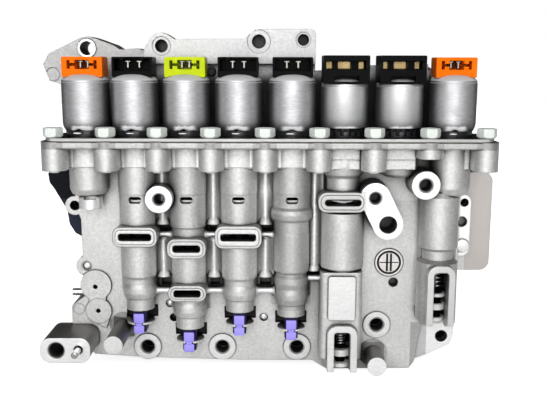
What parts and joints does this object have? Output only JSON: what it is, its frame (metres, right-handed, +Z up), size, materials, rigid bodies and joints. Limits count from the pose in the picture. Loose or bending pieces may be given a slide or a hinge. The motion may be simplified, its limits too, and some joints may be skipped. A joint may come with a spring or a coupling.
{
  "type": "transmission valve body",
  "caption": "Hydraulic control block of an automatic gearbox: two die-cast halves with spool valves, solenoids with plug sockets, and mounting ears.",
  "frame": {"origin": "on the rear mounting face, level with the seats of the bracket bolts and midway along the bolt row", "axes": "+X to the right along the row of solenoids, +Y out of the rear mounting face into the gearbox case, +Z up along the valve bores towards the solenoids"},
  "size_m": [0.2762, 0.076, 0.2084],
  "materials": {
    "front_casting": "die-cast, satin",
    "rear_casting": "die-cast, satin",
    "plate_steel": "plain rolled",
    "bracket_steel": "plain rolled",
    "zinc_steel": "zinc plated",
    "dark_bolt_steel": "oiled",
    "pin_steel": "ground",
    "turned_aluminium": "turned",
    "spool_aluminium": "hard anodised",
    "spring_steel": "drawn",
    "can_steel": "drawn, plated",
    "nose_steel": "turned",
    "orange_plastic": "moulded",
    "lime_plastic": "moulded",
    "black_plastic": "moulded",
    "purple_plastic": "moulded",
    "cover_plastic": "moulded",
    "coil_copper": "enamelled wire",
    "terminal_metal": "tin plated",
    "ring_rubber": "moulded"
  },
  "bodies": {
    "housing": {"body_bolts": "dark_bolt_steel", "bore_1_plug": "turned_aluminium", "bore_plugs": "turned_aluminium", "bracket_bolts": "zinc_steel", "check_balls": "pin_steel", "dowel_pin": "pin_steel", "front_body": "front_casting", "locating_pin": "pin_steel", "lower_seat_6": "turned_aluminium", "lower_seat_8": "turned_aluminium", "rear_body": "rear_casting", "retainer_keys": "purple_plastic", "rubber_stop": "ring_rubber", "separator_plate": "plate_steel", "side_cover": "cover_plastic", "slotted_plug": "turned_aluminium", "solenoid_1_can": "can_steel", "solenoid_1_connector": "orange_plastic", "solenoid_1_nose": "nose_steel", "solenoid_2_can": "can_steel", "solenoid_2_connector": "black_plastic", "solenoid_2_nose": "nose_steel", "solenoid_3_can": "can_steel", "solenoid_3_connector": "lime_plastic", "solenoid_3_nose": "nose_steel", "solenoid_4_can": "can_steel", "solenoid_4_connector": "black_plastic", "solenoid_4_nose": "nose_steel", "solenoid_5_can": "can_steel", "solenoid_5_connector": "black_plastic", "solenoid_5_nose": "nose_steel", "solenoid_6_can": "can_steel", "solenoid_6_connector": "black_plastic", "solenoid_6_nose": "nose_steel", "solenoid_7_can": "can_steel", "solenoid_7_connector": "black_plastic", "solenoid_7_nose": "nose_steel", "solenoid_8_can": "can_steel", "solenoid_8_connector": "orange_plastic", "solenoid_8_nose": "nose_steel", "solenoid_bracket": "bracket_steel", "solenoid_coils": "coil_copper", "solenoid_o_rings": "ring_rubber", "solenoid_terminals": "terminal_metal", "spring_2": "spring_steel", "spring_3": "spring_steel", "spring_4": "spring_steel", "spring_5": "spring_steel", "spring_6": "spring_steel", "spring_8": "spring_steel", "spring_pin": "pin_steel"},
    "spool_2": {"spool_2": "spool_aluminium"},
    "spool_3": {"spool_3": "spool_aluminium"},
    "spool_4": {"spool_4": "spool_aluminium"},
    "spool_5": {"spool_5": "spool_aluminium"},
    "spool_6": {"spool_6": "spool_aluminium"},
    "spool_8": {"spool_8": "spool_aluminium"},
    "manual_valve": {"manual_valve": "spool_aluminium"}
  },
  "joints": [
    {"name": "spool_2_slide", "type": "slide", "parent": "housing", "child": "spool_2", "axis": [0, 0, 1], "range_m": [-0.003, 0], "stiffness_N_per_m": 500, "springref_m": 0.005, "deforming": ["spring_2"]},
    {"name": "spool_3_slide", "type": "slide", "parent": "housing", "child": "spool_3", "axis": [0, 0, 1], "range_m": [-0.003, 0], "stiffness_N_per_m": 500, "springref_m": 0.005, "deforming": ["spring_3"]},
    {"name": "spool_4_slide", "type": "slide", "parent": "housing", "child": "spool_4", "axis": [0, 0, 1], "range_m": [-0.003, 0], "stiffness_N_per_m": 500, "springref_m": 0.005, "deforming": ["spring_4"]},
    {"name": "spool_5_slide", "type": "slide", "parent": "housing", "child": "spool_5", "axis": [0, 0, 1], "range_m": [-0.003, 0], "stiffness_N_per_m": 500, "springref_m": 0.005, "deforming": ["spring_5"]},
    {"name": "spool_6_slide", "type": "slide", "parent": "housing", "child": "spool_6", "axis": [0, 0, 1], "range_m": [-0.003, 0], "stiffness_N_per_m": 500, "springref_m": 0.005, "deforming": ["spring_6"]},
    {"name": "spool_8_slide", "type": "slide", "parent": "housing", "child": "spool_8", "axis": [0, 0, 1], "range_m": [-0.003, 0], "stiffness_N_per_m": 500, "springref_m": 0.005, "deforming": ["spring_8"]},
    {"name": "manual_valve_slide", "type": "slide", "parent": "housing", "child": "manual_valve", "axis": [1, 0, 0], "range_m": [-0.012, 0]}
  ]
}
